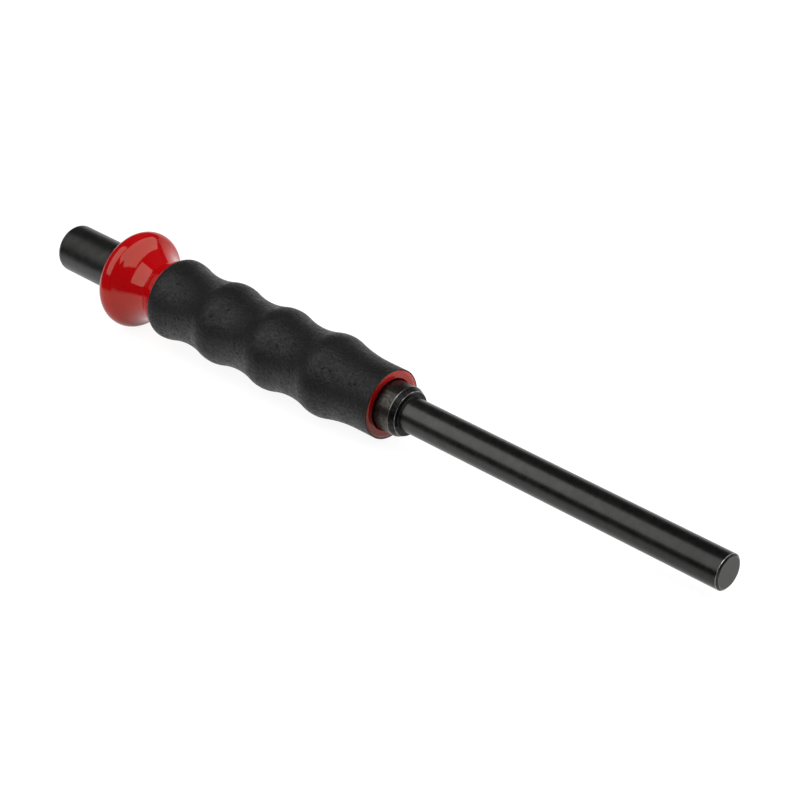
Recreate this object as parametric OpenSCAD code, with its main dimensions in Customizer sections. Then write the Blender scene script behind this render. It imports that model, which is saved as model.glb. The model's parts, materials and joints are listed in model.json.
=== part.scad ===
// Pin punch: one turned steel bar, a red liner with a hand guard, and a soft finger grip.
// It lies along X with the centre of its tip's face at the origin and the tip pointing to +X.

/* [Drive pin] */
// Diameter of the drive pin, ground just under its nominal size
pin_d = 9.9; // [4.9:0.1:11.9]
// Length of the drive pin, from the shoulder to the tip's face
pin_len = 104.8; // [60:0.1:160]
// Length of the chamfer round the tip, along the axis
tip_chamfer = 0.5; // [0.2:0.1:1.5]
// Width of that chamfer, from the pin's side in to the tip's flat face
tip_bevel = 0.7; // [0.2:0.1:2]

/* [Striking bar] */
// Diameter of the bar, the same at the striking head and at the shank
bar_d = 14.4; // [13.2:0.1:16.4]
// Length of the striking head behind the guard
head_len = 26.1; // [12:0.1:50]
// Round at the edge of the striking face
head_round = 1.3; // [0.5:0.1:3]
// Length of the shank that shows in front of the liner
shank_len = 7.1; // [4:0.1:20]
// Length of the taper at the shank's front end
taper_len = 1.75; // [0.5:0.05:3.5]
// Diameter of the flat shoulder that the taper ends in
shoulder_d = 12.8; // [10.5:0.1:14.2]

/* [Liner] */
// Outer diameter of the liner's tube, which is also the bore of the grip
liner_d = 19.4; // [17:0.1:19.9]
// Lead-in at the front mouth of the liner's bore
mouth_lead = 0.4; // [0.1:0.1:1]
// Diameter of the guard at its widest circle
guard_d = 29.2; // [25:0.1:40]
// Radius of the guard's round rim
guard_round = 3.6; // [2:0.1:4.5]
// Distance from the grip's rear end to the guard's widest circle
neck_len = 16.3; // [14:0.1:25]
// Radius of the hollow where the neck runs out into the guard
neck_hollow = 10.4; // [6:0.1:13]
// Diameter of the neck's waist, where that hollow begins
waist_d = 18.2; // [16.8:0.1:20]

/* [Grip] */
// Number of finger crests
crest_count = 4; // [2:1:6]
// Distance from one crest to the next, about one finger's width
crest_pitch = 20.9; // [16:0.1:28]
// Diameter over the crests
crest_d = 24.1; // [22:0.1:28]
// Radius of the round on top of a crest
crest_round = 10; // [4:0.5:20]
// Diameter in the hollows between the crests
hollow_d = 21.1; // [20.2:0.1:22.5]
// Diameter of the straight land at the front end
land_d = 20.1; // [19.7:0.1:21.5]
// Length of that land
land_len = 6.5; // [2:0.1:12]
// Distance from the grip's front end to the first crest
first_crest = 21.7; // [18:0.1:30]
// Round at the grip's rear end
grip_round = 2.5; // [1:0.1:3.5]
// Depth below the crests at which that round ends, flush with the lip that the neck flares out to
lip_drop = 0.5; // [0.3:0.05:1]

/* [Hidden] */
$fn = 96;
// Straight steps in each arc of an outline
arc_steps = 8;

pin_r = pin_d / 2;
tip_r = pin_r - tip_bevel;
bar_r = bar_d / 2;
shoulder_r = shoulder_d / 2;
liner_r = liner_d / 2;
guard_r = guard_d / 2;
waist_r = waist_d / 2;
crest_r = crest_d / 2;
lip_r = crest_r - lip_drop;
hollow_r = hollow_d / 2;
land_r = land_d / 2;

// The grip's rear round turns through this angle before it ends at the lip
rear_turn = acos((grip_round - lip_drop) / grip_round);

// Stations along the axis, from the tip back to the striking face
shoulder_x = -pin_len;
taper_x = shoulder_x - taper_len;
front_x = shoulder_x - shank_len;
land_x = front_x - land_len;
crest_x = [for (i = [0 : crest_count - 1]) front_x - first_crest - i * crest_pitch];
last_crest_x = crest_x[crest_count - 1];
grip_rear_x = last_crest_x - grip_round * sin(rear_turn);
guard_x = grip_rear_x - neck_len;
liner_rear_x = guard_x - guard_round;
head_x = liner_rear_x - head_len;

// A crest and a hollow meet on a common tangent: its slope, and the hollow's radius
half_pitch = crest_pitch / 2;
wave_slope = 2 * atan((crest_r - hollow_r) / half_pitch);
hollow_round = half_pitch / sin(wave_slope) - crest_round;

// The same for the longer hollow that runs out into the front land
runout_len = first_crest - land_len;
runout_slope = 2 * atan((crest_r - land_r) / runout_len);
runout_round = runout_len / sin(runout_slope) - crest_round;

// The neck's hollow starts level at the waist and touches the guard's rim
rim_r = guard_r - guard_round;
hollow_rise = waist_r + neck_hollow - rim_r;
hollow_run = sqrt(pow(neck_hollow + guard_round, 2) - pow(hollow_rise, 2));
waist_x = guard_x + hollow_run;
rim_angle = atan2(hollow_rise, hollow_run);

// Points of an arc in the plane of [station, radius], from one angle to another
function arc(centre, radius, from, to) = [
    for (i = [0 : arc_steps])
        let (a = from + (to - from) * i / arc_steps)
        centre + radius * [cos(a), sin(a)]
];

// The rounded top of a crest, from its front slope to its rear slope
function crest(x, front_slope, rear_slope) =
    arc([x, crest_r - crest_round], crest_round, 90 - front_slope, 90 + rear_slope);

// The hollow behind a crest
function hollow(x) =
    arc([x - half_pitch, hollow_r + hollow_round], hollow_round, wave_slope - 90, -wave_slope - 90);

// Turns an outline of [station, radius] points about the X axis
module turned(outline) {
    rotate([0, 90, 0])
        rotate_extrude()
            polygon([for (p = outline) [p[1], p[0]]]);
}

// Hardened steel, turned from one bar: striking head, shank, shoulder and drive pin
module punch_bar() {
    outline = concat(
        [
            [0, 0],
            [0, tip_r],
            [-tip_chamfer, pin_r],
            [shoulder_x, pin_r],
            [shoulder_x, shoulder_r],
            [taper_x, bar_r],
        ],
        arc([head_x + head_round, bar_r - head_round], head_round, 90, 180),
        [[head_x, 0]]
    );
    color([0.16, 0.16, 0.16])
        turned(outline);
}

// Hard red plastic pressed on the bar: a tube inside the grip, a lip, a hollow neck and the guard
module guard_liner() {
    outline = concat(
        [
            [front_x - mouth_lead, bar_r],
            [front_x, bar_r + mouth_lead],
            [front_x, liner_r],
            [grip_rear_x, liner_r],
            [grip_rear_x, lip_r],
        ],
        arc([waist_x, waist_r + neck_hollow], neck_hollow, 270, 180 + rim_angle),
        arc([guard_x, rim_r], guard_round, rim_angle, 180),
        [[liner_rear_x, bar_r]]
    );
    color([0.65, 0.02, 0.03])
        turned(outline);
}

// Black elastomer moulded over the liner's tube, with finger waves and a straight front land
module finger_grip() {
    outline = concat(
        [
            [grip_rear_x, liner_r],
            [front_x, liner_r],
            [front_x, land_r],
        ],
        arc([land_x, land_r + runout_round], runout_round, -90, -runout_slope - 90),
        [for (i = [0 : crest_count - 2]) each concat(
            crest(crest_x[i], i == 0 ? runout_slope : wave_slope, wave_slope),
            hollow(crest_x[i])
        )],
        crest(last_crest_x, wave_slope, 0),
        arc([last_crest_x, crest_r - grip_round], grip_round, 90, 90 + rear_turn)
    );
    color([0.14, 0.14, 0.14])
        turned(outline);
}

punch_bar();
guard_liner();
finger_grip();
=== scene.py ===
"""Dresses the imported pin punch: a steel bar, a red liner with a hand guard and a waved grip.

The tool lies along X, with the centre of its tip's face at the origin and the tip pointing to +X.
Sizes are in metres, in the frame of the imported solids.
"""

import json
import math

import bmesh
import bpy
from bpy.props import FloatProperty, FloatVectorProperty, IntProperty, PointerProperty
from mathutils import Matrix, Vector


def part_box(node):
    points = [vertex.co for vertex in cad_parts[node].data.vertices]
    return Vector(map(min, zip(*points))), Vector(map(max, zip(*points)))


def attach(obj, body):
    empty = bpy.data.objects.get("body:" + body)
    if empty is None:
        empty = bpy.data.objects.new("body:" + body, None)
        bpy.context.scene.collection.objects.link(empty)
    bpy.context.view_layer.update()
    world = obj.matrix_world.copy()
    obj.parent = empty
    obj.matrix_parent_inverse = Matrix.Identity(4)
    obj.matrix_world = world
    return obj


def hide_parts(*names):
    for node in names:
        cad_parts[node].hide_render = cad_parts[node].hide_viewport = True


bl_info = {
    "name": "Pin Punch",
    "version": (1, 0, 0),
    "blender": (4, 5, 0),
    "location": "View3D > Sidebar > Pin Punch",
    "description": "Builds the steel bar, guard and grip of a pin punch around its packed solids",
    "category": "Add Mesh",
}

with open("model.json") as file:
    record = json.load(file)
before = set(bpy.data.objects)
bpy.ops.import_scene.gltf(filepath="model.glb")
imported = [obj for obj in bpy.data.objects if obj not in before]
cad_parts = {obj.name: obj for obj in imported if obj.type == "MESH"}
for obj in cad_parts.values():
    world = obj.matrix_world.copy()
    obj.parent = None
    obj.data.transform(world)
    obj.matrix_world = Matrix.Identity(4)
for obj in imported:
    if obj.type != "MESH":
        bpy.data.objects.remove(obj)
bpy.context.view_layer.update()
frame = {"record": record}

MM = 0.001
BAR_LOW, BAR_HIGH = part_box("punch_bar")
LINER_LOW, LINER_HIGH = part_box("guard_liner")
GRIP_LOW, GRIP_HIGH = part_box("finger_grip")
PIN = next(m for m in frame["record"]["mounts"] if m["name"] == "drive_pin")
PIN_HALF = PIN["dims"]["length_mm"] * MM / 2
PIN_MIDDLE = PIN["pos_m"][0]


# ---------------------------------------------------------------- sizes and colours

def length(name, text, default):
    """A length in metres that a user may change."""
    return FloatProperty(
        name=name, description=text, default=default, min=0.0, unit="LENGTH", precision=5
    )


def tone(name, text, default):
    """A colour that a user may change."""
    return FloatVectorProperty(
        name=name, description=text, default=default, size=3, min=0.0, max=1.0, subtype="COLOR"
    )


def count(name, text, default, low, high):
    """A whole number that a user may change."""
    return IntProperty(name=name, description=text, default=default, min=low, max=high)


def brightness(name, text, default):
    """The brightness of a lamp's face, where white is 1."""
    return FloatProperty(name=name, description=text, default=default, min=0.0)


class SteelBarSettings(bpy.types.PropertyGroup):
    """Sizes and colours of the turned steel bar."""

    pin_radius: length("Pin radius", "Radius of the drive pin", PIN["dims"]["r_mm"] * MM)
    pin_length: length(
        "Pin length", "From the shoulder to the tip's face", PIN_HALF - PIN_MIDDLE
    )
    tip_chamfer: length(
        "Tip chamfer", "Length of the chamfer round the tip", -PIN_MIDDLE - PIN_HALF
    )
    tip_radius: length("Tip radius", "Radius of the tip's flat face", 4.25 * MM)
    bar_radius: length("Bar radius", "Radius of the head and the shank", BAR_HIGH.y)
    shoulder_radius: length(
        "Shoulder radius", "Radius of the flat shoulder at the pin's root", 6.4 * MM
    )
    taper_length: length("Taper length", "Length of the taper in front of the shank", 1.75 * MM)
    head_round: length("Head round", "Round at the edge of the striking face", 1.3 * MM)
    edge_break: length(
        "Edge break", "Round that takes the sharpness off the turned edges", 0.17 * MM
    )
    taper_break: length("Taper break", "Round where the taper meets the shank", 0.45 * MM)
    root_round: length("Root round", "Small round in the corner at the pin's root", 0.2 * MM)
    oxide: tone("Black oxide", "Reflecting colour of the black finish", (0.052, 0.0513, 0.0505))
    bare: tone(
        "Worn steel", "Reflecting colour where the finish is rubbed off an edge", (0.7, 0.7, 0.68)
    )


class GuardLinerSettings(bpy.types.PropertyGroup):
    """Sizes and colour of the red liner and its guard."""

    tube_radius: length("Tube radius", "Outer radius of the tube inside the grip", 9.7 * MM)
    mouth_lead: length("Mouth lead", "Lead-in at the front mouth of the bore", 0.4 * MM)
    mouth_break: length("Mouth break", "Small round at the edge of that lead-in", 0.1 * MM)
    guard_round: length("Guard round", "Radius of the guard's round rim", 3.6 * MM)
    neck_hollow: length(
        "Neck hollow", "Radius of the hollow between the neck and the guard", 10.4 * MM
    )
    waist_radius: length("Waist radius", "Radius of the neck's waist", 9.1 * MM)
    waist_round: length("Waist round", "Round that blends the flare into the waist", 0.3 * MM)
    lip_radius: length("Lip radius", "Radius of the lip that the neck flares out to", 11.55 * MM)
    lip_round: length("Lip round", "Round on top of that lip", 0.35 * MM)
    red: tone("Red", "Colour of the moulded plastic", (0.37, 0.001, 0.003))


class GripSettings(bpy.types.PropertyGroup):
    """Sizes and colour of the finger grip."""

    crest_count: count("Crests", "Number of finger crests", 4, 2, 6)
    crest_pitch: length("Crest pitch", "Distance from one crest to the next", 20.9 * MM)
    crest_radius: length("Crest radius", "Radius over the crests", GRIP_HIGH.y)
    crest_round: length("Crest round", "Radius of the round on top of a crest", 10.0 * MM)
    hollow_radius: length("Hollow radius", "Radius in the hollows", 10.55 * MM)
    land_radius: length("Land radius", "Radius of the straight land at the front end", 10.05 * MM)
    land_length: length("Land length", "Length of the front land", 6.5 * MM)
    first_crest: length("First crest", "Distance from the front end to the first crest", 21.7 * MM)
    rear_round: length("Rear round", "Round at the rear end", 2.5 * MM)
    lip_round: length("Lip round", "Small round at the front edge", 0.12 * MM)
    rings: count("Rings", "Rings along the waves", 300, 40, 600)
    segments: count("Segments", "Faces around the axis", 192, 32, 512)
    black: tone("Black", "Colour of the elastomer", (0.0048, 0.0049, 0.0049))


class StageSettings(bpy.types.PropertyGroup):
    """Camera, lamps and floor."""

    lens: FloatProperty(
        name="Lens", description="Focal length of the camera", default=103.395, unit="CAMERA"
    )
    key_level: brightness("Key level", "Brightness of the large softbox in front", 1.8)
    side_level: brightness("Side level", "Brightness of the strip over the tip", 1.7)
    fill_level: brightness("Fill level", "Brightness of the soft lamp behind the tool", 1.5)
    floor_white: tone("Floor white", "Colour of the floor", (0.92, 0.92, 0.92))


# ---------------------------------------------------------------- turned outlines

# Faces around the axis of a turned piece, and steps along its small and large rounds
TURNED_FACES = 192
ROUND_STEPS, HOLLOW_STEPS, RIM_STEPS = 6, 40, 56
# Longest straight run between two rings of the bar and of the liner
BAR_RUN, LINER_RUN = 2.5 * MM, 1.2 * MM
# Distance from a round to the ring that flanks it, as a share of its radius
FLANK = 0.15
# Distance of a ring on the liner's rear face from its rim and from its bore
RIM_INSET, BORE_INSET = 0.3 * MM, 0.6 * MM
# A point with a smaller radius lies on the axis
ON_AXIS = 1e-7


def rounded_outline(corners):
    """Points (x, r, wear) through corners of (x, r, round, wear), each on an arc of its round."""
    points = []
    for i, (x, r, radius, wear) in enumerate(corners):
        if radius == 0 or i in (0, len(corners) - 1):
            points.append((x, r, wear))
            continue
        here = Vector((x, r))
        back = (Vector(corners[i - 1][:2]) - here).normalized()
        ahead = (Vector(corners[i + 1][:2]) - here).normalized()
        half = back.angle(ahead) / 2
        reach = radius / math.tan(half)
        centre = here + (back + ahead).normalized() * (radius / math.sin(half))
        start, end = here + back * reach, here + ahead * reach
        first = math.atan2(start.y - centre.y, start.x - centre.x)
        turn = math.atan2(end.y - centre.y, end.x - centre.x) - first
        turn = (turn + math.pi) % (2 * math.pi) - math.pi
        # a ring just outside each end of the arc keeps the flats next to it flat
        points.append((*(start + back * radius * FLANK), 0.0))
        for k in range(ROUND_STEPS + 1):
            a = first + turn * k / ROUND_STEPS
            points.append((centre.x + radius * math.cos(a), centre.y + radius * math.sin(a), wear))
        points.append((*(end + ahead * radius * FLANK), 0.0))
    return points


def arc(centre, radius, first, last, steps):
    """Unworn points (x, r, wear) of an arc between two angles in degrees."""
    angles = [math.radians(first + (last - first) * k / steps) for k in range(steps + 1)]
    x, r = centre
    return [(x + radius * math.cos(a), r + radius * math.sin(a), 0.0) for a in angles]


def spaced(points, longest):
    """The same outline with its long straight runs cut into shorter ones."""
    filled = [points[0]]
    for (x0, r0, _), (x1, r1, wear) in zip(points, points[1:]):
        pieces = max(1, math.ceil(math.hypot(x1 - x0, r1 - r0) / longest))
        for k in range(1, pieces + 1):
            t = k / pieces
            here = wear if k == pieces else 0.0
            filled.append((x0 + (x1 - x0) * t, r0 + (r1 - r0) * t, here))
    return filled


def outward(mesh):
    """Turns the faces of a closed mesh outwards."""
    whole = bmesh.new()
    whole.from_mesh(mesh)
    bmesh.ops.recalc_face_normals(whole, faces=whole.faces)
    whole.to_mesh(mesh)
    whole.free()


def shown(obj):
    """Links a new object to the scene."""
    bpy.context.scene.collection.objects.link(obj)
    return obj


def turned(name, outline, material, closed=False):
    """An object whose outline of (x, r, wear) points is turned about the X axis."""
    verts, marks, rings, faces = [], [], [], []
    for x, r, wear in outline:
        if r < ON_AXIS:
            rings.append([len(verts)] * TURNED_FACES)
            verts.append((x, 0.0, 0.0))
            marks.append(wear)
            continue
        rings.append(list(range(len(verts), len(verts) + TURNED_FACES)))
        for k in range(TURNED_FACES):
            a = 2 * math.pi * k / TURNED_FACES
            verts.append((x, r * math.cos(a), r * math.sin(a)))
            marks.append(wear)
    pairs = list(zip(rings, rings[1:])) + ([(rings[-1], rings[0])] if closed else [])
    for front, rear in pairs:
        for k in range(TURNED_FACES):
            n = (k + 1) % TURNED_FACES
            loop = list(dict.fromkeys((front[k], front[n], rear[n], rear[k])))
            if len(loop) > 2:
                faces.append(loop)
    mesh = bpy.data.meshes.new(name)
    mesh.from_pydata(verts, [], faces)
    mesh.attributes.new("edge", "FLOAT", "POINT").data.foreach_set("value", marks)
    outward(mesh)
    mesh.shade_smooth()
    mesh.materials.append(material)
    return shown(bpy.data.objects.new(name, mesh))


def dressed(obj, node):
    """Seats a finished piece in the frame in place of its CAD node."""
    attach(obj, "root")
    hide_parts(node)


# ---------------------------------------------------------------- node trees

class Number:
    """A socket of a node tree that takes part in formulas."""

    def __init__(self, tree, socket):
        self.tree, self.socket = tree, socket

    def apply(self, operation, *others):
        """The result of a Math node on this and other numbers."""
        node = self.tree.nodes.new("ShaderNodeMath")
        node.operation = operation
        for slot, value in zip(node.inputs, (self, *others)):
            if isinstance(value, Number):
                self.tree.links.new(value.socket, slot)
            else:
                slot.default_value = value
        return Number(self.tree, node.outputs[0])

    def __add__(self, other):
        return self.apply("ADD", other)

    def __sub__(self, other):
        return self.apply("SUBTRACT", other)

    def __mul__(self, other):
        return self.apply("MULTIPLY", other)

    def __truediv__(self, other):
        return self.apply("DIVIDE", other)

    def sqrt(self):
        return self.apply("SQRT")

    def sin(self):
        return self.apply("SINE")

    def cos(self):
        return self.apply("COSINE")

    def most(self, other):
        return self.apply("MAXIMUM", other)

    def below(self, limit):
        return self.apply("LESS_THAN", limit)

    def rest(self):
        """What is missing from 1."""
        return self * -1.0 + 1.0

    def pick(self, yes, no):
        """yes where this is 1, no where it is 0."""
        return no + self * (yes - no)

    def ramp(self, low, high):
        """0 at low and below, 1 at high and above."""
        node = self.tree.nodes.new("ShaderNodeMapRange")
        node.interpolation_type = "SMOOTHSTEP"
        self.tree.links.new(self.socket, node.inputs["Value"])
        node.inputs["From Min"].default_value = low
        node.inputs["From Max"].default_value = high
        return Number(self.tree, node.outputs["Result"])


# Rings of the grip's other strips of skin: lip, rear round, rear face, bore and front face
LIP_RINGS, REAR_RINGS, REAR_FACE_RINGS, BORE_RINGS, FRONT_FACE_RINGS = 8, 24, 4, 8, 3
# Seams of the skin closer than this are closed
SEAM = 1e-6


def wave_rule():
    """The Geometry Nodes tree that makes the grip: land, run-out, waves, rear round and bore."""
    tree = bpy.data.node_groups.new("finger_waves", "GeometryNodeTree")
    sizes = (
        "Front Station", "Land Length", "First Crest", "Crest Pitch", "Crest Radius",
        "Crest Round", "Hollow Radius", "Land Radius", "Rear Station", "Rear Round",
        "Lip Round", "Bore Radius",
    )
    for name in sizes:
        tree.interface.new_socket(name, in_out="INPUT", socket_type="NodeSocketFloat")
    for name in ("Crest Count", "Rings", "Segments"):
        tree.interface.new_socket(name, in_out="INPUT", socket_type="NodeSocketInt")
    tree.interface.new_socket("Material", in_out="INPUT", socket_type="NodeSocketMaterial")
    tree.interface.new_socket("Geometry", in_out="OUTPUT", socket_type="NodeSocketGeometry")
    given = tree.nodes.new("NodeGroupInput").outputs
    link = tree.links.new

    def size(name):
        return Number(tree, given[name])

    front, rear = size("Front Station"), size("Rear Station")
    land, first = size("Land Length"), size("First Crest")
    crest_r, crest_round = size("Crest Radius"), size("Crest Round")
    hollow_r, land_r, bore_r = size("Hollow Radius"), size("Land Radius"), size("Bore Radius")
    rear_round, lip = size("Rear Round"), size("Lip Round")
    half_pitch = size("Crest Pitch") * 0.5
    last = first + size("Crest Pitch") * (size("Crest Count") - 1.0)
    waves_length = last - lip
    rear_turn = ((front - last - rear) / rear_round).apply("ARCSINE")
    rear_r = crest_r - rear_round + rear_round * rear_turn.cos()

    # a crest and a hollow share a tangent, which gives the crest's reach and the hollow's radius
    def tangent(drop, run):
        slope = (drop / run).apply("ARCTANGENT") * 2.0
        return slope.sin() * crest_round, run / slope.sin() - crest_round

    wave_reach, hollow_round = tangent(crest_r - hollow_r, half_pitch)
    runout_reach, runout_round = tangent(crest_r - land_r, first - land)

    def crest(away):
        return crest_r - crest_round + (crest_round * crest_round - away * away).sqrt()

    def trough(low, radius, away):
        return low + radius - (radius * radius - away * away).sqrt()

    def wave(d):
        """Radius at a distance d behind the front end, up to the last crest."""
        away = (d - first).apply("PINGPONG", half_pitch)
        waves = away.below(wave_reach).pick(
            crest(away), trough(hollow_r, hollow_round, half_pitch - away)
        )
        before = first - d
        runout = before.below(runout_reach).pick(
            crest(before.apply("MINIMUM", crest_round)),
            trough(land_r, runout_round, (d - land).most(0.0)),
        )
        return before.below(0.0).pick(waves, runout)

    def skin(rings, station, radius, wear=0.0):
        """A strip of the skin: station and radius are rules of a number that runs from 0 to 1."""
        grid = tree.nodes.new("GeometryNodeMeshGrid")
        grid.inputs["Size X"].default_value = grid.inputs["Size Y"].default_value = 1.0
        if isinstance(rings, Number):
            link(rings.socket, grid.inputs["Vertices X"])
        else:
            grid.inputs["Vertices X"].default_value = rings
        link((size("Segments") + 1.0).socket, grid.inputs["Vertices Y"])
        place = tree.nodes.new("ShaderNodeSeparateXYZ")
        link(tree.nodes.new("GeometryNodeInputPosition").outputs[0], place.inputs[0])
        u = Number(tree, place.outputs["X"]) + 0.5
        turn = Number(tree, place.outputs["Y"]) * (2 * math.pi)
        x, r = station(u), radius(u)
        spot = tree.nodes.new("ShaderNodeCombineXYZ")
        for value, slot in zip((x, r * turn.cos(), r * turn.sin()), spot.inputs):
            link(value.socket, slot)
        moved = tree.nodes.new("GeometryNodeSetPosition")
        link(grid.outputs["Mesh"], moved.inputs["Geometry"])
        link(spot.outputs[0], moved.inputs["Position"])
        marked = tree.nodes.new("GeometryNodeStoreNamedAttribute")
        marked.data_type, marked.domain = "FLOAT", "POINT"
        marked.inputs["Name"].default_value = "edge"
        marked.inputs["Value"].default_value = wear
        link(moved.outputs[0], marked.inputs["Geometry"])
        return marked.outputs[0]

    def quarter(u):
        return u * (math.pi / 2)

    strips = [
        skin(
            LIP_RINGS,
            lambda u: front - lip + lip * quarter(u).cos(),
            lambda u: land_r - lip + lip * quarter(u).sin(),
            wear=1.0,
        ),
        skin(
            size("Rings"),
            lambda u: front - lip - u * waves_length,
            lambda u: wave(lip + u * waves_length),
        ),
        skin(
            REAR_RINGS,
            lambda u: front - last - rear_round * (rear_turn * u).sin(),
            lambda u: crest_r - rear_round + rear_round * (rear_turn * u).cos(),
        ),
        skin(REAR_FACE_RINGS, lambda u: rear, lambda u: rear_r + u * (bore_r - rear_r)),
        skin(BORE_RINGS, lambda u: rear + u * (front - rear), lambda u: bore_r),
        skin(FRONT_FACE_RINGS, lambda u: front, lambda u: bore_r + u * (land_r - lip - bore_r)),
    ]
    joined = tree.nodes.new("GeometryNodeJoinGeometry")
    for strip in strips:
        link(strip, joined.inputs[0])
    merged = tree.nodes.new("GeometryNodeMergeByDistance")
    merged.inputs["Distance"].default_value = SEAM
    smooth = tree.nodes.new("GeometryNodeSetShadeSmooth")
    real = tree.nodes.new("GeometryNodeRealizeInstances")
    painted = tree.nodes.new("GeometryNodeSetMaterial")
    out = tree.nodes.new("NodeGroupOutput")
    chain = (joined, merged, smooth, real, painted, out)
    for a, b in zip(chain, chain[1:]):
        link(a.outputs[0], b.inputs[0])
    link(given["Material"], painted.inputs["Material"])
    return tree


# ---------------------------------------------------------------- finishes

# Roughness of every noise texture
NOISE_ROUGHNESS = 0.55
# Width of a change of finish along the axis of the bar
SOFT = 0.05 * MM
# Tones of the black oxide, as shares of its colour: along the pin and from blotch to blotch
TIP_TONE, ROOT_TONE = 0.74, 1.2
THIN_TONE, FULL_TONE = 0.9, 1.12
# Its tones on the gritty shank, on the darker taper and in the painted shade beside the ring, and
# on the face
SHANK_TONES, TAPER_AND_SHADE_TONES, FACE_TONE = (0.55, 1.45), (0.2, 0.65), 1.42
# Tint of the shank, and the least share of it, where a blotch leaves most of the oxide
WARM_TINT, SHANK_LEAST = (1.14, 1.04, 0.93), 0.3
# How far the painted shade beside the ring reaches along the shank, and how ragged its edge is
SHANK_SHADE_NEAR, SHANK_SHADE_FAR, SHANK_SHADE_RAGGED = -0.2 * MM, 0.9 * MM, 1.1 * MM
# Stations between which the finish of the tip's face begins
FACE_FROM, FACE_TO = -0.08 * MM, -0.02 * MM
# Depth of the liner's front ring, and the side of it that is darkened by painted shade
RING_FROM, RING_TO = -0.3 * MM, -0.1 * MM
RING_SHADE_NEAR, RING_SHADE_FAR = -9.5 * MM, 3.0 * MM
# Tones of the red plastic: from blotch to blotch, in the painted shade on the front ring and on a
# rubbed edge
RED_TONES, RING_SHADE_TONE, RED_EDGE_TONE = (0.96, 1.04), 0.38, 0.9
# Tones of the elastomer: from grain to grain, in its pores and on a rubbed edge
GRIP_TONES, PORE_TONE, GRIP_EDGE_TONE = (0.6, 1.5), 0.2, 1.6
# Roughness of the steel, and what the ground pin, the blotches and the tip's face add to it
STEEL_ROUGH, PIN_ADDS, STEEL_BLOTCH_ADDS, FACE_ADDS = 0.32, -0.05, 0.04, 0.12
# Roughness of the plastic, and what its blotches, rubbed edges and front ring add to it
RED_ROUGH, RED_BLOTCH_ADDS, RED_EDGE_ADDS, RING_ADDS = 0.07, 0.02, 0.05, 0.1
# Roughness of the elastomer, and what its blotches, both grains and pores add to it
GRIP_ROUGH, GRIP_BLOTCH_ADDS, GRAIN_ADDS, FINE_ADDS, PORE_ADDS = 0.54, 0.1, -0.14, -0.12, 0.3
# Sockets of a Mix node that mixes colours
MIX_FIRST, MIX_SECOND, MIX_RESULT = 6, 7, 2


def shader_group(name, numbers, results):
    """A new shader node group on a vector: its tree, and the sockets it is given and fills."""
    tree = bpy.data.node_groups.new(name, "ShaderNodeTree")
    tree.interface.new_socket("Vector", in_out="INPUT", socket_type="NodeSocketVector")
    for title in numbers:
        tree.interface.new_socket(title, in_out="INPUT", socket_type="NodeSocketFloat")
    for title in results:
        tree.interface.new_socket(title, in_out="OUTPUT", socket_type="NodeSocketFloat")
    return tree, tree.nodes.new("NodeGroupInput").outputs, tree.nodes.new("NodeGroupOutput").inputs


def noise(tree, vector, scale, detail):
    """A noise texture on a vector socket; scale is a number or a socket."""
    node = tree.nodes.new("ShaderNodeTexNoise")
    tree.links.new(vector, node.inputs["Vector"])
    if hasattr(scale, "is_output"):
        tree.links.new(scale, node.inputs["Scale"])
    else:
        node.inputs["Scale"].default_value = scale
    node.inputs["Detail"].default_value = detail
    node.inputs["Roughness"].default_value = NOISE_ROUGHNESS
    return Number(tree, node.outputs["Fac"])


def grain_group():
    """Fine surface grain: a raised grain and slow blotches, both from 0 to 1."""
    tree, given, out = shader_group(
        "surface_grain", ("Grain Scale", "Blotch Scale"), ("Grain", "Blotch")
    )
    grain = noise(tree, given["Vector"], given["Grain Scale"], detail=2.0).ramp(0.3, 0.7)
    blotch = noise(tree, given["Vector"], given["Blotch Scale"], detail=3.0).ramp(0.32, 0.68)
    tree.links.new(grain.socket, out["Grain"])
    tree.links.new(blotch.socket, out["Blotch"])
    return tree


def wear_group():
    """Where an edge is rubbed: the piece's edge mark broken up by noise, from 0 to 1."""
    tree, given, out = shader_group("edge_wear", ("Edge", "Scale", "Loss"), ("Mask",))
    patch = noise(tree, given["Vector"], given["Scale"], detail=3.0).ramp(0.48, 0.62)
    edge, loss = Number(tree, given["Edge"]), Number(tree, given["Loss"])
    mask = edge * (patch * loss + 1.0 - loss)
    tree.links.new(mask.socket, out["Mask"])
    return tree


def shared_group(name, make):
    """A group that is built once and then shared by the finishes."""
    return bpy.data.node_groups.get(name) or make()


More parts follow.
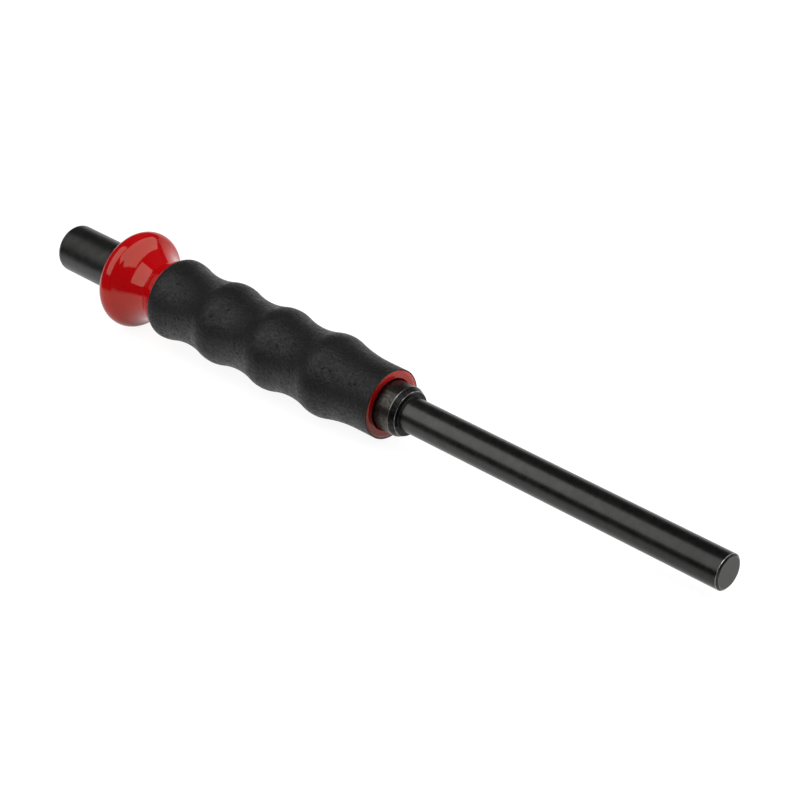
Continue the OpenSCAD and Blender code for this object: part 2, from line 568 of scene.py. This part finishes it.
class Finish:
    """A material being made: its tree, its Principled shader and its Object coordinates."""

    def __init__(self, name):
        self.material = bpy.data.materials.new(name)
        self.material.use_nodes = True
        self.tree = self.material.node_tree
        self.shader = self.tree.nodes["Principled BSDF"]
        self.place = self.tree.nodes.new("ShaderNodeTexCoord").outputs["Object"]

    def set(self, **values):
        """Sets constants of the shader."""
        for name, value in values.items():
            self.shader.inputs[name.replace("_", " ")].default_value = value

    def link(self, value, name):
        """Feeds an input of the shader."""
        socket = value.socket if isinstance(value, Number) else value
        self.tree.links.new(socket, self.shader.inputs[name])

    def group(self, tree, **values):
        """Places a shared group and gives its results by name."""
        node = self.tree.nodes.new("ShaderNodeGroup")
        node.node_tree = tree
        self.tree.links.new(self.place, node.inputs["Vector"])
        for name, value in values.items():
            slot = node.inputs[name.replace("_", " ")]
            if isinstance(value, Number):
                self.tree.links.new(value.socket, slot)
            else:
                slot.default_value = value
        return {o.name: Number(self.tree, o) for o in node.outputs}

    def grain(self, grain_scale, blotch_scale):
        """The shared surface grain: how raised and how blotchy a spot is."""
        results = self.group(
            shared_group("surface_grain", grain_group),
            Grain_Scale=grain_scale, Blotch_Scale=blotch_scale,
        )
        return results["Grain"], results["Blotch"]

    def wear(self, scale, loss):
        """The shared edge wear, on the piece's own edge marks."""
        marks = self.tree.nodes.new("ShaderNodeAttribute")
        marks.attribute_name = "edge"
        edge = Number(self.tree, marks.outputs["Fac"])
        group = shared_group("edge_wear", wear_group)
        return self.group(group, Edge=edge, Scale=scale, Loss=loss)["Mask"]

    def axis(self):
        """Object coordinates as three numbers."""
        node = self.tree.nodes.new("ShaderNodeSeparateXYZ")
        self.tree.links.new(self.place, node.inputs[0])
        return [Number(self.tree, o) for o in node.outputs]

    def blend(self, mask, first, second):
        """A colour: first where the mask is 0, second where it is 1."""
        node = self.tree.nodes.new("ShaderNodeMix")
        node.data_type = "RGBA"
        self.tree.links.new(mask.socket, node.inputs["Factor"])
        for slot, colour in ((MIX_FIRST, first), (MIX_SECOND, second)):
            if hasattr(colour, "is_output"):
                self.tree.links.new(colour, node.inputs[slot])
            else:
                node.inputs[slot].default_value = (*colour, 1.0)
        return node.outputs[MIX_RESULT]

    def tones(self, mask, colour, shares):
        """A colour between two shares of itself."""
        low, high = shares
        return self.blend(mask, scaled(colour, low), scaled(colour, high))

    def bump(self, height, strength, distance):
        """Raises the surface by a height map."""
        node = self.tree.nodes.new("ShaderNodeBump")
        node.inputs["Strength"].default_value = strength
        node.inputs["Distance"].default_value = distance
        self.tree.links.new(height.socket, node.inputs["Height"])
        self.link(node.outputs[0], "Normal")


def scaled(colour, factor):
    """A colour made lighter or darker."""
    return tuple(min(1.0, c * factor) for c in colour)


def black_oxide(bar, front):
    """Black oxide on turned steel, rubbed at the edges.

    The ground pin is smoother and darkens to its tip, the shank is warm and gritty, the taper is
    black, and the shank beside the ring has painted shade.
    """
    f = Finish("black_oxide")
    x = f.axis()[0]
    grain, blotch = f.grain(grain_scale=5200.0, blotch_scale=420.0)
    worn = f.wear(scale=520.0, loss=0.7)
    shoulder = -bar.pin_length
    taper = shoulder - bar.taper_length
    on_pin = x.ramp(shoulder + SOFT, shoulder + 3 * SOFT)
    past_taper = x.ramp(taper - SOFT, taper + SOFT)
    past_ring = x.ramp(front - SOFT, front + SOFT)
    on_taper = past_taper - on_pin
    on_shank = (past_ring - past_taper) * (blotch * (1.0 - SHANK_LEAST) + SHANK_LEAST)
    on_face = x.ramp(FACE_FROM, FACE_TO)
    # from the tip, where it is 0, to the pin's root and all behind it, where it is 1
    along = x * (-1.0 / bar.pin_length)
    thin, full = (
        f.tones(along, bar.oxide, (TIP_TONE * k, ROOT_TONE * k)) for k in (THIN_TONE, FULL_TONE)
    )
    oxide = f.blend(blotch, thin, full)
    grit = noise(f.tree, f.place, scale=1300.0, detail=2.0).ramp(0.36, 0.64)
    warm = tuple(tint * c for tint, c in zip(WARM_TINT, bar.oxide))
    shank = f.blend(on_shank, oxide, f.tones(grit, warm, SHANK_TONES))
    # painted shade on the shank beside the ring, with a ragged edge
    ragged = x - blotch * SHANK_SHADE_RAGGED
    shank_shade = past_ring - ragged.ramp(front + SHANK_SHADE_NEAR, front + SHANK_SHADE_FAR)
    # the taper is darker, and the painted shade beside the ring takes the same darker tones
    dark = f.blend(on_taper + shank_shade.most(0.0), shank, f.tones(grit, bar.oxide, TAPER_AND_SHADE_TONES))
    faced = f.blend(on_face, dark, scaled(bar.oxide, FACE_TONE))
    f.link(f.blend(worn, faced, tuple(bar.bare)), "Base Color")
    rough = on_pin * PIN_ADDS + STEEL_ROUGH + blotch * STEEL_BLOTCH_ADDS + on_face * FACE_ADDS
    f.link(rough, "Roughness")
    f.set(Metallic=0.94)
    # turning marks: rings about a tenth of a millimetre apart
    lines = f.tree.nodes.new("ShaderNodeCombineXYZ")
    f.tree.links.new(x.socket, lines.inputs[0])
    marks = noise(f.tree, lines.outputs[0], scale=9000.0, detail=2.0)
    f.bump(marks * 0.6 + grain * 0.4, strength=0.05, distance=0.02 * MM)
    return f.material


def red_plastic(guard):
    """Hard moulded plastic with a high gloss and a faint ripple; its front ring is rougher, with
    painted shade on one side.
    """
    f = Finish("red_plastic")
    grain, blotch = f.grain(grain_scale=450.0, blotch_scale=120.0)
    worn = f.wear(scale=700.0, loss=0.6)
    red = f.tones(blotch, guard.red, RED_TONES)
    x, y, _ = f.axis()
    on_ring = x.ramp(LINER_HIGH.x + RING_FROM, LINER_HIGH.x + RING_TO)
    # painted shade: the front ring darkens towards -Y, as if the shank shaded it
    dull = y.ramp(RING_SHADE_NEAR, RING_SHADE_FAR).rest()
    ring = f.blend(on_ring * dull, red, scaled(guard.red, RING_SHADE_TONE))
    f.link(f.blend(worn, ring, scaled(guard.red, RED_EDGE_TONE)), "Base Color")
    rough = blotch * RED_BLOTCH_ADDS + RED_ROUGH + worn * RED_EDGE_ADDS + on_ring * RING_ADDS
    f.link(rough, "Roughness")
    f.set(IOR=1.5, Specular_Tint=(1.0, 0.98, 0.76, 1.0))
    f.bump(grain, strength=0.04, distance=0.05 * MM)
    return f.material


def black_elastomer(grip):
    """Matt elastomer with a leathery moulded grain, a few dark pores and greyer, rubbed edges."""
    f = Finish("black_elastomer")
    grain, blotch = f.grain(grain_scale=1000.0, blotch_scale=260.0)
    worn = f.wear(scale=800.0, loss=0.4)
    pores = noise(f.tree, f.place, scale=900.0, detail=1.0).ramp(0.66, 0.72)
    fine = noise(f.tree, f.place, scale=1900.0, detail=1.0).ramp(0.25, 0.75)
    speckle = f.tones(grain, grip.black, GRIP_TONES)
    pitted = f.blend(pores, speckle, scaled(grip.black, PORE_TONE))
    f.link(f.blend(worn, pitted, scaled(grip.black, GRIP_EDGE_TONE)), "Base Color")
    rough = blotch * GRIP_BLOTCH_ADDS + GRIP_ROUGH
    rough = rough + grain * GRAIN_ADDS + fine * FINE_ADDS + pores * PORE_ADDS
    f.link(rough, "Roughness")
    f.set(IOR=1.5, Specular_IOR_Level=0.3, Sheen_Weight=0.04, Sheen_Roughness=0.45)
    f.bump(grain * 0.65 + fine * 0.5 - pores * 0.5, strength=0.65, distance=0.14 * MM)
    return f.material


# ---------------------------------------------------------------- pieces

class PUNCH_OT_steel_bar(bpy.types.Operator):
    """Turn the steel bar: drive pin, shoulder, taper, shank and striking head"""

    bl_idname = "pin_punch.steel_bar"
    bl_label = "Steel bar"

    def execute(self, context):
        s = context.scene.punch_bar
        shoulder, head = -s.pin_length, BAR_LOW.x
        # station, radius, round and wear of each corner
        corners = [
            (0.0, 0.0, 0.0, 0.0),
            (0.0, s.tip_radius, s.edge_break, 0.3),
            (-s.tip_chamfer, s.pin_radius, s.edge_break, 1.0),
            (shoulder, s.pin_radius, s.root_round, 0.0),
            (shoulder, s.shoulder_radius, s.edge_break, 0.5),
            (shoulder - s.taper_length, s.bar_radius, s.taper_break, 0.5),
            (head, s.bar_radius, s.head_round, 0.25),
            (head, 0.0, 0.0, 0.0),
        ]
        outline = spaced(rounded_outline(corners), BAR_RUN)
        bar = turned("steel_bar", outline, black_oxide(s, LINER_HIGH.x))
        dressed(bar, "punch_bar")
        return {"FINISHED"}


class PUNCH_OT_guard_liner(bpy.types.Operator):
    """Turn the red liner: front ring, tube, hollow neck and round guard"""

    bl_idname = "pin_punch.guard_liner"
    bl_label = "Guard and liner"

    def execute(self, context):
        s, bore = context.scene.punch_guard, context.scene.punch_bar.bar_radius
        front, lip, rear = LINER_HIGH.x, GRIP_LOW.x, LINER_LOW.x
        rim_radius, widest = LINER_HIGH.y - s.guard_round, rear + s.guard_round
        # the neck's hollow starts level at the waist and touches the guard's rim
        rise = s.waist_radius + s.neck_hollow - rim_radius
        run = math.sqrt((s.neck_hollow + s.guard_round) ** 2 - rise**2)
        slope = math.degrees(math.atan2(rise, run))
        waist = widest + run
        centre = (waist, s.waist_radius + s.neck_hollow)
        hollow = arc(centre, s.neck_hollow, 270, 180 + slope, HOLLOW_STEPS)
        # station, radius, round and wear of each corner, from the bore to the start of the hollow
        corners = [
            (rear, bore, 0.0, 0.0),
            (front - s.mouth_lead, bore, 0.0, 0.0),
            (front, bore + s.mouth_lead, s.mouth_break, 1.0),
            (front, s.tube_radius, 0.0, 0.0),
            (lip, s.tube_radius, 0.0, 0.0),
            (lip, s.lip_radius, s.lip_round, 0.0),
            (waist, s.waist_radius, s.waist_round, 0.0),
            (hollow[1][0], hollow[1][1], 0.0, 0.0),
        ]
        outline = spaced(rounded_outline(corners), LINER_RUN) + hollow[2:]
        outline += arc((widest, rim_radius), s.guard_round, slope, 180, RIM_STEPS)[1:]
        # a ring near each edge of the rear face keeps it flat
        outline += [(rear, rim_radius - RIM_INSET, 0.0), (rear, bore + BORE_INSET, 0.0)]
        liner = turned("red_liner", outline, red_plastic(s), closed=True)
        dressed(liner, "guard_liner")
        return {"FINISHED"}


class PUNCH_OT_finger_grip(bpy.types.Operator):
    """Mould the waved finger grip with Geometry Nodes"""

    bl_idname = "pin_punch.finger_grip"
    bl_label = "Finger grip"

    def execute(self, context):
        s, guard = context.scene.punch_grip, context.scene.punch_guard
        tree = wave_rule()
        grip = shown(bpy.data.objects.new("waved_grip", bpy.data.meshes.new("waved_grip")))
        rule = grip.modifiers.new("finger_waves", "NODES")
        rule.node_group = tree
        values = {
            "Front Station": GRIP_HIGH.x,
            "Land Length": s.land_length,
            "First Crest": s.first_crest,
            "Crest Pitch": s.crest_pitch,
            "Crest Radius": s.crest_radius,
            "Crest Round": s.crest_round,
            "Hollow Radius": s.hollow_radius,
            "Land Radius": s.land_radius,
            "Rear Station": GRIP_LOW.x,
            "Rear Round": s.rear_round,
            "Lip Round": s.lip_round,
            "Bore Radius": guard.tube_radius,
            "Crest Count": s.crest_count,
            "Rings": s.rings,
            "Segments": s.segments,
            "Material": black_elastomer(s),
        }
        for socket in tree.interface.items_tree:
            if socket.in_out == "INPUT":
                rule[socket.identifier] = values[socket.name]
        context.view_layer.update()
        graph = context.evaluated_depsgraph_get()
        mesh = bpy.data.meshes.new_from_object(
            grip.evaluated_get(graph), preserve_all_data_layers=True, depsgraph=graph
        )
        if not mesh.polygons:
            raise RuntimeError("the grip's rule made no faces")
        grip.modifiers.clear()
        grip.data = mesh
        outward(mesh)
        dressed(grip, "finger_grip")
        return {"FINISHED"}


# ---------------------------------------------------------------- stage

CAMERA_PLACE = (0.252175, -0.388434, 0.307675)
CAMERA_AIM = (-0.111942, 0.003365, 0.0)
SENSOR_WIDTH, CLIP_START = 36.0, 0.01
ABOVE, ACROSS = (0, 0, 1), (0, 1, 0)
# Half the floor's width, and half the width of the sheet behind the tool and its distance
FLOOR_REACH, BACK_REACH, BACK_PLACE = 12.0, 3.0, 1.0
# Height and brightness of the rows of that sheet
BACK_ROWS = ((-0.1, 0.88), (0.1, 0.84), (0.38, 0.62), (0.4, 0.0))
# Where the white floor ends in gloss, as (x, y): nearer to the pin than to the guard
CLOTH_EDGE = (
    (-12.0, -0.04), (-0.27, -0.036), (-0.24, -0.066), (-0.21, -0.066),
    (-0.18, -0.042), (-0.11, -0.022), (12.0, -0.014),
)
# Rows of the dark cloth in front of that edge: share of its y, distance from it and brightness
CLOTH_ROWS = ((1.0, 11.9, 0.03), (1.35, 0.012, 0.03), (0.75, 0.0, 1.0))
CLOTH_LIFT = 0.001
# Glow of the floor in gloss, what is added to the eye, and what is added far from the tool
GLOSS_GLOW, EYE_GLOW, FAR_GLOW = 0.73, 0.17, 0.1
NEAR_FLOOR, FAR_FLOOR = 0.4, 1.4
# Grey of the floor that takes the shadow which the eye sees
SHADOW_GREY = (0.2, 0.2, 0.2, 1.0)
# Light of the room on matt surfaces, and how much less of it shows in gloss
ROOM_LEVEL, GLOSS_DROP = 0.16, 0.12


def facing(place, target, up):
    """A matrix that stands at a place and looks along -Z at a target."""
    back = (place - target).normalized()
    right = up.cross(back).normalized()
    turn = Matrix((right, back.cross(right), back)).transposed()
    return Matrix.Translation(place) @ turn.to_4x4()


def softbox(name, place, aim, up, size, level):
    """A rectangular lamp whose face is as bright as level, where white is 1."""
    width, height = size
    lamp = bpy.data.lights.new(name, "AREA")
    lamp.shape, lamp.size, lamp.size_y = "RECTANGLE", width, height
    lamp.energy = level * math.pi * width * height
    obj = shown(bpy.data.objects.new(name, lamp))
    obj.matrix_world = facing(Vector(place), Vector(aim), Vector(up))
    obj.visible_camera = False
    return obj


def sheet(name, rows, levels, material):
    """A sheet of the stage through rows of points, with a brightness for each row."""
    wide = len(rows[0])
    faces = [
        (r * wide + k, r * wide + k + 1, (r + 1) * wide + k + 1, (r + 1) * wide + k)
        for r in range(len(rows) - 1) for k in range(wide - 1)
    ]
    mesh = bpy.data.meshes.new(name)
    mesh.from_pydata([p for row in rows for p in row], [], faces)
    glow = [level for level in levels for _ in range(wide)]
    mesh.attributes.new("glow", "FLOAT", "POINT").data.foreach_set("value", glow)
    mesh.materials.append(material)
    return shown(bpy.data.objects.new(name, mesh))


def bare_material(name):
    """A material whose tree holds only an output, with that tree and its Surface socket."""
    material = bpy.data.materials.new(name)
    material.use_nodes = True
    tree = material.node_tree
    tree.nodes.clear()
    return material, tree, tree.nodes.new("ShaderNodeOutputMaterial").inputs["Surface"]


def floor_paint(colour):
    """White floor that keeps a soft shadow: to the eye and in gloss it is nearly all white."""
    material, tree, surface = bare_material("floor_white")
    link = tree.links.new
    path = tree.nodes.new("ShaderNodeLightPath")
    eye, gloss, through = (
        Number(tree, path.outputs["Is %s Ray" % kind])
        for kind in ("Camera", "Glossy", "Transmission")
    )
    seen = eye.most(gloss).most(through)
    lit = tree.nodes.new("ShaderNodeBsdfDiffuse")
    lit.inputs["Color"].default_value = (*colour, 1.0)
    faint = tree.nodes.new("ShaderNodeBsdfDiffuse")
    faint.inputs["Color"].default_value = SHADOW_GREY
    glow = tree.nodes.new("ShaderNodeEmission")
    # plain white far from the tool, where no lamp reaches
    away = tree.nodes.new("ShaderNodeVectorMath")
    away.operation = "LENGTH"
    link(tree.nodes.new("ShaderNodeTexCoord").outputs["Object"], away.inputs[0])
    far = Number(tree, away.outputs["Value"]).ramp(NEAR_FLOOR, FAR_FLOOR)
    strength = eye * (far * FAR_GLOW + EYE_GLOW) + GLOSS_GLOW
    link(strength.socket, glow.inputs["Strength"])
    both = tree.nodes.new("ShaderNodeAddShader")
    mix = tree.nodes.new("ShaderNodeMixShader")
    link(faint.outputs[0], both.inputs[0])
    link(glow.outputs[0], both.inputs[1])
    link(seen.socket, mix.inputs[0])
    link(lit.outputs[0], mix.inputs[1])
    link(both.outputs[0], mix.inputs[2])
    link(mix.outputs[0], surface)
    return material


def glow_paint():
    """Paint of a sheet that is seen only in gloss, as bright as the sheet's glow."""
    material, tree, surface = bare_material("glow_paint")
    paint = tree.nodes.new("ShaderNodeEmission")
    level = tree.nodes.new("ShaderNodeAttribute")
    level.attribute_name = "glow"
    tree.links.new(level.outputs["Fac"], paint.inputs["Strength"])
    tree.links.new(paint.outputs[0], surface)
    return material


def white_room():
    """A world that is white to the eye, dark in gloss and an even, dim light otherwise."""
    world = bpy.data.worlds.new("white_room")
    bpy.context.scene.world = world
    world.use_nodes = True
    tree = world.node_tree
    back = tree.nodes["Background"]
    back.inputs["Color"].default_value = (1.0, 1.0, 1.0, 1.0)
    path = tree.nodes.new("ShaderNodeLightPath")
    eye = Number(tree, path.outputs["Is Camera Ray"])
    dim = Number(tree, path.outputs["Is Glossy Ray"]) * -GLOSS_DROP + ROOM_LEVEL
    tree.links.new((dim + eye * dim.rest()).socket, back.inputs["Strength"])


class PUNCH_OT_stage(bpy.types.Operator):
    """Set up the camera, the softboxes and the white floor that the tool lies on"""

    bl_idname = "pin_punch.stage"
    bl_label = "Stage"

    def execute(self, context):
        scene = context.scene
        s, grip, guard = scene.punch_stage, scene.punch_grip, scene.punch_guard
        # the tool lies on the guard's rim and on the first crest
        rim_x, crest_x = LINER_LOW.x + guard.guard_round, GRIP_HIGH.x - grip.first_crest
        slope = (LINER_HIGH.y - grip.crest_radius) / (crest_x - rim_x)
        up = Vector((-slope, 0.0, 1.0)).normalized()

        def ground(x, y, lift=0.0):
            return (x, y, -LINER_HIGH.y * math.sqrt(1 + slope**2) + slope * (x - rim_x) + lift)

        ends = (-FLOOR_REACH, FLOOR_REACH)
        floor_rows = [[ground(x, y) for x in ends] for y in ends]
        floor = sheet("floor", floor_rows, (1, 1), floor_paint(s.floor_white))
        cloth = [
            [ground(x, y * share - far, CLOTH_LIFT) for x, y in CLOTH_EDGE]
            for share, far, _ in CLOTH_ROWS
        ]
        back = [[(x, BACK_PLACE, z) for x in (-BACK_REACH, BACK_REACH)] for z, _ in BACK_ROWS]
        paint = glow_paint()
        flags = [
            sheet("front_cloth", cloth, [level for *_, level in CLOTH_ROWS], paint),
            sheet("back_sheet", back, [level for _, level in BACK_ROWS], paint),
        ]
        for flag in flags:
            flag.visible_camera = flag.visible_diffuse = flag.visible_shadow = False
        white_room()

        softbox(
            "key_softbox", place=(-0.6, -0.69, 0.855), aim=(-0.6, 0.0, 0.0), up=ABOVE,
            size=(1.2, 1.46), level=s.key_level,
        )
        softbox(
            "side_strip", place=(0.408, 0.265, 0.755), aim=(-0.133, 0.0, -0.052), up=ACROSS,
            size=(0.875, 1.9), level=s.side_level,
        )
        fill = softbox(
            "back_fill", place=(-0.2, 0.65, 0.95), aim=(-0.15, 0.0, 0.0), up=ABOVE,
            size=(1.6, 1.0), level=s.fill_level,
        )
        fill.visible_glossy = False

        lens = bpy.data.cameras.new("photo_camera")
        lens.lens, lens.sensor_width, lens.clip_start = s.lens, SENSOR_WIDTH, CLIP_START
        camera = shown(bpy.data.objects.new("photo_camera", lens))
        camera.matrix_world = facing(Vector(CAMERA_PLACE), Vector(CAMERA_AIM), up)
        scene.camera = camera
        scene.view_settings.view_transform = "Standard"
        return {"FINISHED"}


class PUNCH_PT_panel(bpy.types.Panel):
    """Lists the steps that build the punch"""

    bl_idname = "PUNCH_PT_panel"
    bl_label = "Pin Punch"
    bl_space_type = "VIEW_3D"
    bl_region_type = "UI"
    bl_category = "Pin Punch"

    def draw(self, context):
        for step in STEPS:
            self.layout.operator(step.bl_idname)


SETTINGS = {
    "punch_bar": SteelBarSettings,
    "punch_guard": GuardLinerSettings,
    "punch_grip": GripSettings,
    "punch_stage": StageSettings,
}
STEPS = (PUNCH_OT_steel_bar, PUNCH_OT_guard_liner, PUNCH_OT_finger_grip, PUNCH_OT_stage)


def register():
    for kind in (*SETTINGS.values(), *STEPS, PUNCH_PT_panel):
        bpy.utils.register_class(kind)
    for name, kind in SETTINGS.items():
        setattr(bpy.types.Scene, name, PointerProperty(type=kind))


def unregister():
    for name in SETTINGS:
        delattr(bpy.types.Scene, name)
    for kind in (PUNCH_PT_panel, *reversed(STEPS), *reversed(tuple(SETTINGS.values()))):
        bpy.utils.unregister_class(kind)


def main():
    register()
    bpy.ops.pin_punch.steel_bar()
    bpy.ops.pin_punch.guard_liner()
    bpy.ops.pin_punch.finger_grip()
    bpy.ops.pin_punch.stage()


if __name__ == "__main__":
    main()
